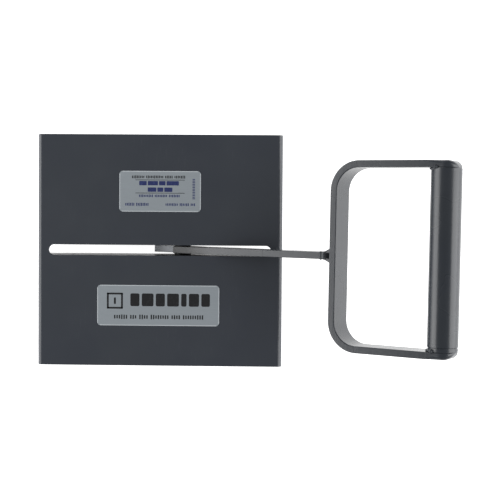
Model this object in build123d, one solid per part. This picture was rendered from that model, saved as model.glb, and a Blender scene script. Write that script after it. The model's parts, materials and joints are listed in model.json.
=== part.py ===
from build123d import *
from math import asin, atan2, cos, degrees, hypot, radians, sin, sqrt, tan
import os

# Magnetic plate mover. Millimetres. X runs along the slot towards the handle, Y across it,
# Z up. The origin is the centre of the working face, which sits on the steel sheet.

# ---- Lever stock and pivot ----
LEVER_THICKNESS = 6.35       # blade, arm and handle frame are all quarter-inch plate or bar
BAR_WIDTH = 25.4             # one-inch flat bar
PIN_DIAMETER = 8.0
PIN_SEAT_DEPTH = 9.0         # how far the pin enters each cheek plate
WASHER_DIAMETER = 16.0
WASHER_THICKNESS = 1.6
PIVOT_X = 19.0
PIVOT_Z = 31.9
RUNNING_CLEARANCE = 0.05     # radial, lever on its pin
SEAT_CLEARANCE = 0.03        # radial, pin in a cheek plate
WASHER_BORE_CLEARANCE = 0.2  # radial, washer on the pin
WASHER_PLAY = 0.12           # each side of the lever; it lets the lever lean
WASHER_SEAT = 0.01           # washer to cheek plate
STOP_CLEARANCE = 0.15        # between the arm's edge and the slot's end at rest
LEVER_LEAN = 0.7             # degrees; the lever leans to the front in its play on the pin

# ---- Housing ----
HOUSING_LENGTH = 228.6       # along X, over the bends
HOUSING_WIDTH = 215.9        # along Y
HOUSING_HEIGHT = 63.5        # working face to the top of the web
SHEET = 3.0
BEND_INNER_RADIUS = 1.5
FLANGE_LIFT = 1.5            # flange edges stay this far above the working face
SLOT_MARGIN = 10.4           # web left beyond each end of the slot
NOTCH_TOP = 34.0             # round-topped notch in each flange, in line with the slot
EDGE_BREAK = 0.4             # light break on cut edges

# ---- Magnet packs, one each side of the slot ----
CHEEK_THICKNESS = 12.7
END_PLATE_THICKNESS = 12.7
END_PLATE_INSET = 1.455      # end plate's outside face, in from the web's cut edge
MAGNET_THICKNESS = 25.4
RESIN_CAP = 8.7              # from the top of the blocks to the web
RESIN_END = 9.6              # from the end of a row to the flange
MAGNET_RECESS = 1.0          # blocks and resin sit above the pole faces
MAGNET_CHAMFER = 1.0
MAGNET_JOINT = 0.2           # glue line between neighbouring blocks
MAGNET_COLUMNS = 2
PACK_GAP = 0.1               # glue line or seat between plates, blocks and sheet
POLE_CHAMFER = 0.8

# ---- Flush screws through the flanges into the steel plates ----
SCREW_DIAMETER = 5.0
SCREW_HEAD_DIAMETER = 9.4
SCREW_LENGTH = 16.0
SCREW_SOCKET_DEPTH = 1.6
SCREW_SOCKET_FLATS = 3.0
SCREW_CLEARANCE = 0.05
SCREW_LOW = 16.0             # lower screw above the working face
SCREW_DROP = 17.5            # upper screw below the top of the web

# ---- Labels ----
LABEL_THICKNESS = 0.3
LABEL_CORNER = 3.5
LABEL_BACK_SIZE = (76.2, 38.1)
LABEL_BACK_CENTRE = (0.2, 55.0)
LABEL_FRONT_SIZE = (114.3, 38.1)
LABEL_FRONT_CENTRE = (-1.1, -51.5)

# ---- Release heel on the lever blade, sized in the rest position ----
HEEL_REACH = 29.0            # pin centre to the nose, away from the handle
HEEL_LIFT = 2.5              # heel above the working face
HEEL_DROP = 2.1              # heel's top edge, below the arm's centre line and parallel to it
SHOULDER_REACH = 8.5         # pin centre to the upright edge above the heel
HEEL_BACK_REACH = 5.0        # pin centre to the end of the heel's flat bottom
HEEL_JOIN_REACH = 24.0       # pin centre to where the sloping edge meets the arm
NOSE_RADIUS = 5.0
NOSE_TOP_RADIUS = 2.0
SHOULDER_RADIUS = 3.0
SPLICE_REACH = 96.0          # pin centre to the joint between blade and arm

# ---- Handle ----
FRAME_REACH = 163.6          # pin centre to the frame's near face
GRIP_REACH = 266.9           # pin centre to the grip's axis
HANDLE_WIDTH = 168.3
FRAME_CORNER = 27.0          # outer radius of the bends
GRIP_DIAMETER = 26.7
GRIP_WALL = 2.87
GRIP_END_ROUND = 9.0         # the frame's ends are ground round over the grip
WELD_LEG_ALONG = 9.0         # handle weld, along the arm
WELD_LEG_ACROSS = 5.0        # handle weld, along the frame
WELD_TOE = 0.3               # thickness where the handle weld runs out on the arm
WELD_INSET = 1.5             # handle weld stops short of the bars' edges
SPLICE_BEAD_RADIUS = 1.7
SPLICE_BEAD_SINK = 0.7
SPLICE_BEAD_PROUD = 0.8      # how far the bead stands beyond the blade's faces
GRIP_BEAD_LEG = 2.2

# ---- Worked out from the sizes above ----
SLOT_WIDTH = LEVER_THICKNESS + 2 * (WASHER_THICKNESS + WASHER_PLAY)
SLOT_HALF = SLOT_WIDTH / 2
LEVER_HALF = LEVER_THICKNESS / 2
BAR_HALF = BAR_WIDTH / 2
PIN_RADIUS = PIN_DIAMETER / 2
GRIP_RADIUS = GRIP_DIAMETER / 2
WEB_UNDERSIDE = HOUSING_HEIGHT - SHEET
FLANGE_INSIDE = HOUSING_LENGTH / 2 - SHEET
SLOT_LENGTH = HOUSING_LENGTH - 2 * SLOT_MARGIN
SCREW_HEIGHTS = (SCREW_LOW, HOUSING_HEIGHT - SCREW_DROP)
MAGNET_HEIGHT = WEB_UNDERSIDE - RESIN_CAP - MAGNET_RECESS
ROW_HALF = FLANGE_INSIDE - RESIN_END
MAGNET_LENGTH = (2 * ROW_HALF - (MAGNET_COLUMNS - 1) * MAGNET_JOINT) / MAGNET_COLUMNS
# The centre poles take the width that the other layers leave.
CENTRE_POLE_THICKNESS = (HOUSING_WIDTH / 2 - END_PLATE_INSET - SLOT_HALF - CHEEK_THICKNESS
                         - 2 * MAGNET_THICKNESS - END_PLATE_THICKNESS)


def slot_end(reach):
    """Where the leaning arm's corner meets a round end of the slot, `reach` from the pin."""
    corner = LEVER_HALF + reach * sin(radians(LEVER_LEAN))
    return SLOT_LENGTH / 2 - SLOT_HALF + sqrt(SLOT_HALF**2 - corner**2)


def stop_angle(run):
    """Arm angle above the web when its edge rests on the web's top corner, `run` from the pin."""
    rise = HOUSING_HEIGHT - PIVOT_Z
    return degrees(atan2(rise, run) + asin((BAR_HALF + STOP_CLEARANCE) / hypot(run, rise)))


REST_ANGLE = stop_angle(slot_end(SLOT_LENGTH / 2 - PIVOT_X) - PIVOT_X)
LEVER_RANGE = 180 - stop_angle(slot_end(SLOT_LENGTH / 2 + PIVOT_X) + PIVOT_X) - REST_ANGLE
SLOPE = tan(radians(REST_ANGLE))

# Planes of the lever: its side view, and the tilted plane that the handle lies in.
ARM_DIRECTION = Vector(cos(radians(REST_ANGLE)), 0, sin(radians(REST_ANGLE)))
ARM_NORMAL = Vector(-sin(radians(REST_ANGLE)), 0, cos(radians(REST_ANGLE)))
PIVOT = Vector(PIVOT_X, 0, PIVOT_Z)
LEAN_AXIS = Axis(PIVOT, (0, 0, 1))
HANDLE_PLANE = Plane(origin=PIVOT, x_dir=ARM_DIRECTION.rotate(LEAN_AXIS, -LEVER_LEAN),
                     z_dir=ARM_NORMAL.rotate(LEAN_AXIS, -LEVER_LEAN))


def block(x_range, y_range, z_range):
    """A box between two corners."""
    size = [high - low for low, high in (x_range, y_range, z_range)]
    centre = [(high + low) / 2 for low, high in (x_range, y_range, z_range)]
    return Pos(*centre) * Box(*size)


def handle_box(u_range, y_range, n_range):
    """A box in the handle's plane: u along the arm from the pin, y across, n off the plane."""
    return HANDLE_PLANE * block(u_range, y_range, n_range)


def side_plate(points, thickness):
    """A plate cut to an outline of (x, z) points, centred on the slot's middle plane."""
    outline = make_face(Polyline([Vector(x, 0, z) for x, z in points], close=True))
    return extrude(outline, amount=thickness / 2, dir=(0, 1, 0), both=True)


# ---------------------------------------------------------------- housing
def screw_places(plate_centres):
    """Where the flush screws go: (y, z) for every plate end."""
    return [(y, z) for y in plate_centres for z in SCREW_HEIGHTS]


def pack_layers():
    """(low, high) distance from the slot's middle for each layer of one magnet pack."""
    names = ["cheek", "inner_row", "centre_pole", "outer_row", "end_plate"]
    sizes = [CHEEK_THICKNESS, MAGNET_THICKNESS, CENTRE_POLE_THICKNESS, MAGNET_THICKNESS,
             END_PLATE_THICKNESS]
    layers, low = {}, SLOT_HALF
    for name, size in zip(names, sizes):
        layers[name] = (low, low + size)
        low += size
    return layers


LAYERS = pack_layers()
SCREWED = [sum(LAYERS[name]) / 2 for name in ("cheek", "end_plate")]
SCREW_PLACES = screw_places([side * y for side in (-1, 1) for y in SCREWED])


def slot_cutter(width, height):
    """A full-round slot along X, through the web."""
    cutter = extrude(SlotOverall(SLOT_LENGTH, width), amount=height)
    return Pos(0, 0, HOUSING_HEIGHT - height / 2) * cutter


def notch_cutter():
    """Round-topped notch through both flanges, so that chips can be swept out of the slot."""
    straight = block((-HOUSING_LENGTH, HOUSING_LENGTH), (-SLOT_HALF, SLOT_HALF),
                     (0, NOTCH_TOP - SLOT_HALF))
    crown = Pos(0, 0, NOTCH_TOP - SLOT_HALF) * Rot(0, 90, 0)
    return straight + crown * Cylinder(SLOT_HALF, 2 * HOUSING_LENGTH)


def countersink(y, z, side, clearance):
    """Clearance hole and cone for one flush screw in the flange at `side` of the housing."""
    shank = SCREW_DIAMETER / 2 + clearance
    head = SCREW_HEAD_DIAMETER / 2 + clearance
    cone = Cone(head, shank, head - shank, align=(Align.CENTER, Align.CENTER, Align.MIN))
    hole = Cylinder(shank, 2 * SHEET, align=(Align.CENTER, Align.CENTER, Align.MIN))
    inward = Plane(origin=(side * HOUSING_LENGTH / 2, y, z), z_dir=(-side, 0, 0))
    return inward * (cone + hole)


def make_housing():
    """Channel with its web on top, bent down at both ends of the slot."""
    outer = block((-HOUSING_LENGTH / 2, HOUSING_LENGTH / 2),
                  (-HOUSING_WIDTH / 2, HOUSING_WIDTH / 2), (FLANGE_LIFT, HOUSING_HEIGHT))
    bends = outer.edges().filter_by(Axis.Y).group_by(Axis.Z)[-1]
    outer = fillet(bends, BEND_INNER_RADIUS + SHEET)
    inner = block((-FLANGE_INSIDE, FLANGE_INSIDE), (-HOUSING_WIDTH, HOUSING_WIDTH),
                  (-HOUSING_HEIGHT, WEB_UNDERSIDE))
    inner = fillet(inner.edges().filter_by(Axis.Y).group_by(Axis.Z)[-1], BEND_INNER_RADIUS)
    shell = outer - inner - slot_cutter(SLOT_WIDTH, 3 * SHEET) - notch_cutter()
    for side in (-1, 1):
        for y, z in SCREW_PLACES:
            shell -= countersink(y, z, side, SCREW_CLEARANCE)
    return shell


# ---------------------------------------------------------------- magnet packs
def mirrored(y_range, side):
    """A distance range from the slot's middle, put on the back (+1) or front (-1) side."""
    low, high = y_range
    return (low, high) if side > 0 else (-high, -low)


def pole(name, side, half_length, top):
    """One steel pole plate, its working edges lightly chamfered."""
    low, high = LAYERS[name]
    inset = PACK_GAP / 2
    plate = block((-half_length, half_length), mirrored((low + inset, high - inset), side),
                  (0, top))
    working = plate.edges().filter_by(Axis.X).group_by(Axis.Z)[0]
    return chamfer(working, POLE_CHAMFER)


def screwed_pole(name, side):
    """A full-length pole plate, tapped at both ends for the flush screws."""
    half_length = FLANGE_INSIDE - PACK_GAP
    plate = pole(name, side, half_length, WEB_UNDERSIDE - PACK_GAP)
    # The top corners clear the inside of the housing's bends.
    corners = plate.edges().filter_by(Axis.Y).group_by(Axis.Z)[-1]
    plate = chamfer(corners, BEND_INNER_RADIUS)
    y = side * sum(LAYERS[name]) / 2
    for end in (-1, 1):
        for z in SCREW_HEIGHTS:
            hole = Cylinder(SCREW_DIAMETER / 2 + SCREW_CLEARANCE, 2 * SCREW_LENGTH)
            plate -= Pos(end * half_length, y, z) * Rot(0, 90, 0) * hole
    return plate


def make_cheek(side):
    """Inner pole plate beside the slot, bored blind for the pivot pin."""
    plate = screwed_pole("cheek", side)
    seat = Cylinder(PIN_RADIUS + SEAT_CLEARANCE, 2 * (PIN_SEAT_DEPTH + SEAT_CLEARANCE))
    return plate - Pos(PIVOT_X, side * SLOT_HALF, PIVOT_Z) * Rot(90, 0, 0) * seat


def magnet(name, side, column):
    """One ferrite block, its edges chamfered as pressed blocks are."""
    low, high = LAYERS[name]
    inset = PACK_GAP / 2
    left = -ROW_HALF + column * (MAGNET_LENGTH + MAGNET_JOINT)
    brick = block((left, left + MAGNET_LENGTH), mirrored((low + inset, high - inset), side),
                  (MAGNET_RECESS, MAGNET_RECESS + MAGNET_HEIGHT))
    return chamfer(brick.edges(), MAGNET_CHAMFER)


def make_centre_pole(side):
    """Middle pole of one pack, kept clear of the steel housing."""
    return pole("centre_pole", side, ROW_HALF, MAGNET_HEIGHT)


def make_resin(side):
    """Potting that caps the rows of blocks and closes their ends."""
    y_range = mirrored((LAYERS["inner_row"][0] + PACK_GAP, LAYERS["outer_row"][1] - PACK_GAP),
                       side)
    half_length = FLANGE_INSIDE - 2 * PACK_GAP
    rows = ROW_HALF + PACK_GAP
    top = WEB_UNDERSIDE - BEND_INNER_RADIUS
    ceiling = MAGNET_RECESS + MAGNET_HEIGHT + PACK_GAP
    fill = block((-half_length, half_length), y_range, (MAGNET_RECESS, top))
    return fill - block((-rows, rows), (-HOUSING_WIDTH, HOUSING_WIDTH), (-1, ceiling))


def make_flange_screws(side):
    """Flush socket screws of one flange, as one group of separate solids."""
    shank_radius = SCREW_DIAMETER / 2
    head_radius = SCREW_HEAD_DIAMETER / 2
    centred = (Align.CENTER, Align.CENTER, Align.MIN)
    head = Cone(head_radius, shank_radius, head_radius - shank_radius, align=centred)
    shank = Cylinder(shank_radius, SCREW_LENGTH, align=centred)
    socket = extrude(RegularPolygon(SCREW_SOCKET_FLATS / 2, 6, major_radius=False),
                     amount=SCREW_SOCKET_DEPTH)
    screw = chamfer((head + shank).edges().group_by(Axis.Z)[-1], EDGE_BREAK) - socket
    outside = side * HOUSING_LENGTH / 2
    places = [Plane(origin=(outside, y, z), z_dir=(-side, 0, 0)) for y, z in SCREW_PLACES]
    return Compound(children=[place * screw for place in places])


# ---------------------------------------------------------------- labels
def make_label(size, centre):
    """Foil label stuck on the web."""
    face = RectangleRounded(size[0], size[1], LABEL_CORNER)
    return Pos(centre[0], centre[1], HOUSING_HEIGHT) * extrude(face, amount=LABEL_THICKNESS)


# ---------------------------------------------------------------- pivot
def make_pivot_pin():
    """Plain pin held in blind bores of the two cheek plates."""
    length = SLOT_WIDTH + 2 * PIN_SEAT_DEPTH
    pin = Cylinder(PIN_RADIUS, length)
    pin = chamfer(pin.edges(), EDGE_BREAK)
    return Pos(*PIVOT) * Rot(90, 0, 0) * pin


def make_washer(side):
    """Spacer washer between the lever and a cheek plate."""
    ring = Cylinder(WASHER_DIAMETER / 2, WASHER_THICKNESS)
    ring -= Cylinder(PIN_RADIUS + WASHER_BORE_CLEARANCE, WASHER_THICKNESS)
    y = side * (SLOT_HALF - WASHER_SEAT - WASHER_THICKNESS / 2)
    return Pos(PIVOT_X, y, PIVOT_Z) * Rot(90, 0, 0) * ring


# ---------------------------------------------------------------- lever
def arm_edge(x, offset):
    """Height at x of a line along the arm, `offset` off its centre line."""
    return PIVOT_Z + (x - PIVOT_X) * SLOPE + offset / cos(radians(REST_ANGLE))


def make_blade():
    """Lower part of the lever: pivot hole, release heel and the first stretch of the arm."""
    nose = PIVOT_X - HEEL_REACH
    shoulder = PIVOT_X - SHOULDER_REACH
    join = PIVOT_X + HEEL_JOIN_REACH
    nose_top, shoulder_foot = arm_edge(nose, -HEEL_DROP), arm_edge(shoulder, -HEEL_DROP)
    splice = PIVOT + ARM_DIRECTION * SPLICE_REACH
    upper, lower = splice + ARM_NORMAL * BAR_HALF, splice - ARM_NORMAL * BAR_HALF
    outline = [
        (nose, HEEL_LIFT), (nose, nose_top), (shoulder, shoulder_foot),
        (shoulder, arm_edge(shoulder, BAR_HALF)), (upper.X, upper.Z), (lower.X, lower.Z),
        (join, arm_edge(join, -BAR_HALF)), (PIVOT_X + HEEL_BACK_REACH, HEEL_LIFT),
    ]
    blade = side_plate(outline, LEVER_THICKNESS)

    def corner(x, z):
        return blade.edges().filter_by(Axis.Y).sort_by_distance((x, 0, z))[0]

    blade = fillet(corner(nose, HEEL_LIFT), NOSE_RADIUS)
    blade = fillet(corner(nose, nose_top), NOSE_TOP_RADIUS)
    blade = fillet(corner(shoulder, shoulder_foot), SHOULDER_RADIUS)
    bore = Cylinder(PIN_RADIUS + RUNNING_CLEARANCE, 2 * LEVER_THICKNESS)
    blade -= Pos(*PIVOT) * Rot(90, 0, 0) * bore
    return blade.rotate(LEAN_AXIS, -LEVER_LEAN)


def make_arm():
    """Flat bar from the splice to the handle frame."""
    return handle_box((SPLICE_REACH, FRAME_REACH), (-LEVER_HALF, LEVER_HALF),
                      (-BAR_HALF, BAR_HALF))


def make_splice_weld():
    """Bead left proud under the butt joint between blade and arm; the rest is ground flush."""
    bar = handle_box((0, FRAME_REACH), (-LEVER_HALF, LEVER_HALF), (-BAR_HALF, BAR_HALF))
    bead = Cylinder(SPLICE_BEAD_RADIUS, LEVER_THICKNESS + 2 * SPLICE_BEAD_PROUD)
    bead = fillet(bead.edges(), SPLICE_BEAD_PROUD)
    place = Pos(SPLICE_REACH, 0, SPLICE_BEAD_SINK - BAR_HALF) * Rot(90, 0, 0)
    return HANDLE_PLANE * place * bead - bar


def make_handle_frame():
    """Flat bar bent to a C, its two ends rounded off over the ends of the grip."""
    half = HANDLE_WIDTH / 2
    mouth = 2 * GRIP_REACH
    outer = RectangleRounded(mouth - FRAME_REACH, HANDLE_WIDTH, FRAME_CORNER)
    inner = RectangleRounded(mouth - FRAME_REACH - 2 * LEVER_THICKNESS,
                             HANDLE_WIDTH - 2 * LEVER_THICKNESS, FRAME_CORNER - LEVER_THICKNESS)
    bar = extrude(Pos((mouth + FRAME_REACH) / 2, 0) * (outer - inner), amount=BAR_HALF, both=True)
    # Seen from the side the ends are half-round about the grip; seen from above the outer
    # corners are ground round.
    end_radius = max(GRIP_RADIUS, BAR_HALF)
    cap = Pos(GRIP_REACH, 0, 0) * Rot(90, 0, 0) * Cylinder(end_radius, HANDLE_WIDTH)
    side_view = block((0, GRIP_REACH), (-half, half), (-BAR_HALF, BAR_HALF)) + cap
    plan = block((0, GRIP_REACH + end_radius), (-half, half), (-end_radius, end_radius))
    plan = fillet(plan.edges().filter_by(Axis.Z).group_by(Axis.X)[-1], GRIP_END_ROUND)
    return HANDLE_PLANE * (bar & side_view & plan)


def make_grip():
    """Round tube between the two ends of the frame."""
    length = HANDLE_WIDTH - 2 * LEVER_THICKNESS
    tube = Cylinder(GRIP_RADIUS, length) - Cylinder(GRIP_RADIUS - GRIP_WALL, length)
    return HANDLE_PLANE * Pos(GRIP_REACH, 0, 0) * Rot(90, 0, 0) * tube


def make_handle_weld():
    """Concave fillet weld on each side of the arm where it meets the frame."""
    welds = []
    for side in (-1, 1):
        face = side * LEVER_HALF
        root = (FRAME_REACH, face)
        foot = (FRAME_REACH - WELD_LEG_ALONG, face)
        toe = (foot[0], face + side * WELD_TOE)
        over = (FRAME_REACH, face + side * WELD_LEG_ACROSS)
        outline = Line(root, foot) + Line(foot, toe) + TangentArc(toe, over, tangent=(1, 0))
        outline += Line(over, root)
        welds.append(extrude(make_face(outline), amount=BAR_HALF - WELD_INSET, both=True))
    return Compound(children=[HANDLE_PLANE * weld for weld in welds])


def make_grip_weld(side):
    """Fillet bead round the grip where it meets one end of the frame, on the handle's side."""
    inside = HANDLE_WIDTH / 2 - LEVER_THICKNESS
    outline = Polyline((GRIP_RADIUS, 0), (GRIP_RADIUS + GRIP_BEAD_LEG, 0),
                       (GRIP_RADIUS, GRIP_BEAD_LEG), close=True)
    ring = revolve(make_face(Plane.XZ * outline), Axis.Z)
    foot = Plane(origin=(GRIP_REACH, side * inside, 0), x_dir=(1, 0, 0), z_dir=(0, -side, 0))
    bead = foot * ring
    landing = block((GRIP_REACH - 2 * GRIP_DIAMETER, GRIP_REACH), (-HANDLE_WIDTH, HANDLE_WIDTH),
                    (-BAR_HALF, BAR_HALF))
    return HANDLE_PLANE * (bead & landing)


# ---------------------------------------------------------------- nodes
nodes = {
    "housing": make_housing(),
    "label_back": make_label(LABEL_BACK_SIZE, LABEL_BACK_CENTRE),
    "label_front": make_label(LABEL_FRONT_SIZE, LABEL_FRONT_CENTRE),
    "flange_screws_left": make_flange_screws(-1),
    "flange_screws_right": make_flange_screws(1),
    "pivot_pin": make_pivot_pin(),
    "lever_blade": make_blade(),
    "lever_arm": make_arm(),
    "splice_weld": make_splice_weld(),
    "handle_weld": make_handle_weld(),
    "handle_frame": make_handle_frame(),
    "grip_tube": make_grip(),
}
for half, side in (("back", 1), ("front", -1)):
    nodes[f"cheek_plate_{half}"] = make_cheek(side)
    nodes[f"centre_pole_{half}"] = make_centre_pole(side)
    nodes[f"end_plate_{half}"] = screwed_pole("end_plate", side)
    nodes[f"resin_{half}"] = make_resin(side)
    nodes[f"pivot_washer_{half}"] = make_washer(side)
    nodes[f"grip_weld_{half}"] = make_grip_weld(side)
    for row in ("inner", "outer"):
        for column in range(MAGNET_COLUMNS):
            node = f"magnet_{half}_{row}_{column + 1}"
            nodes[node] = magnet(f"{row}_row", side, column)

os.makedirs("parts", exist_ok=True)
for node, shape in nodes.items():
    export_step(shape, f"parts/{node}.step")

print(f"slot {SLOT_LENGTH:.2f} x {SLOT_WIDTH:.2f}")
print(f"pack reaches {LAYERS['end_plate'][1]:.2f} of {HOUSING_WIDTH / 2:.2f}")
print(f"lever pivot at {PIVOT_X:.3f}, 0, {PIVOT_Z:.3f}")
print(f"lever rests {REST_ANGLE:.3f} deg above the web and swings {LEVER_RANGE:.3f} deg")
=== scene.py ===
"""Magnetic plate mover with a release lever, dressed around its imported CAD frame."""

import json
import logging
import math
import random
from dataclasses import dataclass, field, replace
from enum import Enum

import bmesh
import bpy
from mathutils import Matrix, Quaternion, Vector, noise


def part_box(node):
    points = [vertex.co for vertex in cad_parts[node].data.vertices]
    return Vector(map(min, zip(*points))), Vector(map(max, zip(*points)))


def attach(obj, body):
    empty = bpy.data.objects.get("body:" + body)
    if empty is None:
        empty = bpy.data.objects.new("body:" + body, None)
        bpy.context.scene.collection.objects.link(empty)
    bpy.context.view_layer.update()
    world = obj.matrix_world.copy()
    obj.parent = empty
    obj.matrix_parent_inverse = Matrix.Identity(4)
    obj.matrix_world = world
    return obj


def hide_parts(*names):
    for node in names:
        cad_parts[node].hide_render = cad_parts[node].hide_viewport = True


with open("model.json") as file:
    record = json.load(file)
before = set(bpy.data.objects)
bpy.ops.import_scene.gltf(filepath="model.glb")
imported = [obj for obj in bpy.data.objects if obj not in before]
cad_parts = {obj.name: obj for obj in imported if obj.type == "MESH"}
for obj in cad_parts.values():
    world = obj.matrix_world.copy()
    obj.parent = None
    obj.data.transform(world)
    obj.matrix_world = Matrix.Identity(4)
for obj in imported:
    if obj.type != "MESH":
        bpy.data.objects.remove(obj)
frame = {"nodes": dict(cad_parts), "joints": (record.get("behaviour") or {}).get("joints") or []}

LOG = logging.getLogger("plate_mover")
Triple = tuple[float, float, float]
Socket = bpy.types.NodeSocket
BMesh = bmesh.types.BMesh
MM = 0.001  # in metres
INCH = 25.4  # in millimetres
NEAR = 1e-3  # millimetres that count as none
WELD_CREASE_DEG = 60.0
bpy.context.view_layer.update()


# ---------- small helpers
def linear(hex_colour: str, alpha: float = 1.0) -> tuple[float, float, float, float]:
    """Turn an sRGB hex colour into linear RGBA.

    Args:
        hex_colour: six hex digits, such as "3f4448".
        alpha: the fourth channel.

    Returns:
        The colour as Blender's sockets take it.
    """
    channels = [int(hex_colour[i:i + 2], 16) / 255 for i in (0, 2, 4)]
    return (*[c / 12.92 if c <= 0.04045 else ((c + 0.055) / 1.055) ** 2.4 for c in channels], alpha)


def per_mm(size_mm: float) -> float:
    """Texture scale on Object coordinates whose features are about this size."""
    return 1 / (size_mm * MM)


# ---------- finishes
class Surface:
    """A material in the making: one shader, fed by textures on Object coordinates."""

    def __init__(self, name: str) -> None:
        """Start the material of this name."""
        self.material = bpy.data.materials.new(name)
        self.material.use_nodes = True
        self.tree = self.material.node_tree
        self.place = self.add("ShaderNodeTexCoord").outputs["Object"]

    def feed(self, socket: Socket, source: object) -> None:
        """Link a socket to an output, or set its value.

        Args:
            socket: the input.
            source: the output, the value, or a string for an sRGB hex colour.
        """
        if isinstance(source, Socket):
            self.tree.links.new(source, socket)
        else:
            socket.default_value = linear(source) if isinstance(source, str) else source

    def add(self, kind: str, inputs: dict | None = None, **settings) -> bpy.types.Node:
        """Add a node with its settings and its inputs.

        Args:
            kind: the node's type name.
            inputs: input name or number to what feeds it.
            settings: attributes of the node.

        Returns:
            The new node.
        """
        new = self.tree.nodes.new(kind)
        for name, value in settings.items():
            setattr(new, name, value)
        for socket, source in (inputs or {}).items():
            self.feed(new.inputs[socket], source)
        return new

    def height(self) -> Socket:
        """The height above the working face, in metres."""
        return self.add("ShaderNodeSeparateXYZ", {"Vector": self.place}).outputs["Z"]

    def stretched(self, scale: Triple, turn: Triple = (0.0, 0.0, 0.0)) -> Socket:
        """Turned and scaled coordinates, on which noise is drawn out into lines."""
        inputs = {"Vector": self.place, "Rotation": turn, "Scale": scale}
        return self.add("ShaderNodeMapping", inputs).outputs["Vector"]

    def noise(self, size_mm: float, detail: float = 2.0, place: Socket | None = None) -> Socket:
        """Noise whose features are about this size.

        Args:
            size_mm: the size of its features.
            detail: how many finer layers it has.
            place: the coordinates, or None for plain ones.

        Returns:
            Its value, about 0 to 1.
        """
        inputs = {"Vector": self.place if place is None else place, "Scale": per_mm(size_mm),
                  "Detail": detail}
        return self.add("ShaderNodeTexNoise", inputs).outputs["Fac"]

    def ramp(self, value: Socket, low: float, high: float,
             to: tuple[float, float] = (0.0, 1.0), kind: str = "LINEAR") -> Socket:
        """Map a value from one range to another, held at both ends.

        Args:
            value: the value.
            low: where the first range starts.
            high: where it ends.
            to: the second range.
            kind: how it rises, as Blender names it.

        Returns:
            The mapped value.
        """
        inputs = {"Value": value, "From Min": low, "From Max": high, "To Min": to[0], "To Max": to[1]}
        return self.add("ShaderNodeMapRange", inputs, interpolation_type=kind).outputs["Result"]

    def maths(self, operation: str, *values: object) -> Socket:
        """Combine some values by one operation, as Blender names it."""
        return self.add("ShaderNodeMath", dict(enumerate(values)), operation=operation).outputs[0]

    def blend(self, share: object, first: object, second: object) -> Socket:
        """Mix two colours, by the share of the second."""
        inputs = {"Factor": share, "A": first, "B": second}
        return self.add("ShaderNodeMix", inputs, data_type="RGBA").outputs["Result"]

    def bump(self, height: Socket, strength: float, depth_mm: float,
             under: Socket | None = None) -> Socket:
        """Raise a height above the surface.

        Args:
            height: the height, about 0 to 1.
            strength: how much of it counts.
            depth_mm: the rise from 0 to 1.
            under: the normal it stands on, or None for the mesh's own.

        Returns:
            The new normal.
        """
        inputs = {"Height": height, "Strength": strength, "Distance": depth_mm * MM}
        if under is not None:
            inputs["Normal"] = under
        return self.add("ShaderNodeBump", inputs).outputs["Normal"]

    def finished(self, inputs: dict) -> bpy.types.Material:
        """Feed the shader.

        Args:
            inputs: input name to what feeds it.

        Returns:
            The material.
        """
        shader = self.tree.nodes["Principled BSDF"]
        for name, source in inputs.items():
            self.feed(shader.inputs[name], source)
        return self.material


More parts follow.
